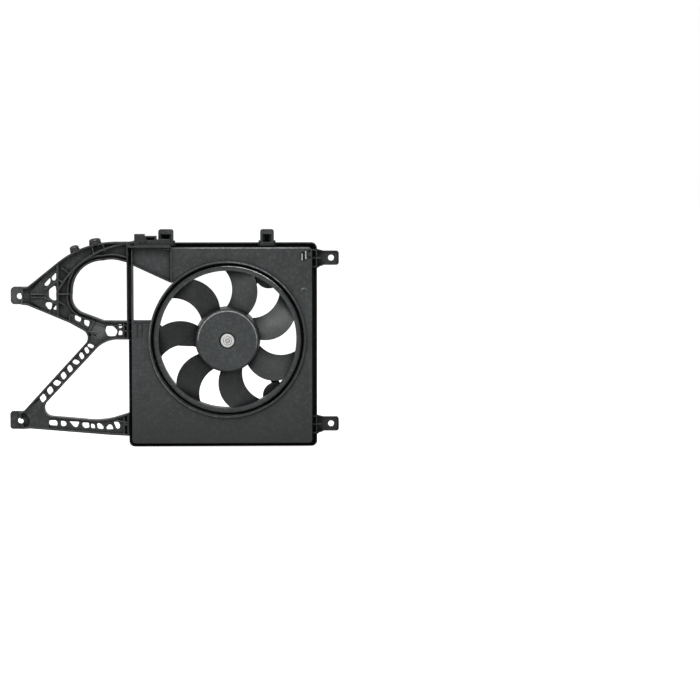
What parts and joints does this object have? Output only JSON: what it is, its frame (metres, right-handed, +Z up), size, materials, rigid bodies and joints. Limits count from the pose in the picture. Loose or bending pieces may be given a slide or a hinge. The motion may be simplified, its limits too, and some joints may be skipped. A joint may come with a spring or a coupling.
{
  "type": "radiator cooling fan assembly",
  "caption": "Electric radiator fan: banded swept-blade wheel in a collared plastic pan, with mounting ears, top hooks and an open lattice carrier arm at the left.",
  "frame": {"origin": "centre of the bounding box in X and Y, at the level of its lowest edge", "axes": "+X to the right seen from the wheel side, +Y towards the radiator along the fan axis, +Z up"},
  "size_m": [0.6064, 0.076, 0.4005],
  "materials": {
    "black_polypropylene": "moulded, fine grain",
    "wheel_nylon": "moulded, slightly shiny",
    "zinc_steel": "zinc plated",
    "black_steel": "black coated",
    "bearing_steel": "ground",
    "lamination": "stacked sheet",
    "copper": "enamelled copper wire",
    "ferrite": "pressed",
    "carbon": "carbon block",
    "brown_resin": "moulded phenolic",
    "black_rubber": "soft",
    "spring_steel": "bright"
  },
  "bodies": {
    "frame": {"shroud_panel": "black_polypropylene", "side_carrier": "black_polypropylene", "motor_carrier": "black_polypropylene", "carrier_screws": "zinc_steel", "motor_grommets": "black_rubber", "motor_bolts": "zinc_steel", "motor_housing": "black_steel", "motor_end_plate": "black_steel", "lead_gland": "black_rubber", "magnets": "ferrite", "front_bearing": "bearing_steel", "rear_bearing": "bearing_steel", "brush_holder": "brown_resin", "brushes": "carbon", "brush_springs": "spring_steel", "connector_bracket": "black_polypropylene", "harness_clips": "wheel_nylon", "panel_clip": "spring_steel"},
    "rotor": {"fan_wheel": "wheel_nylon", "nut_washer": "zinc_steel", "fan_nut": "zinc_steel", "motor_shaft": "bearing_steel", "armature_core": "lamination", "armature_winding": "copper", "commutator": "copper"}
  },
  "joints": [
    {"name": "fan_spin", "type": "hinge", "parent": "frame", "child": "rotor", "pos_m": [0.098, 0, 0.1996], "axis": [0, 1, 0], "continuous": true}
  ]
}
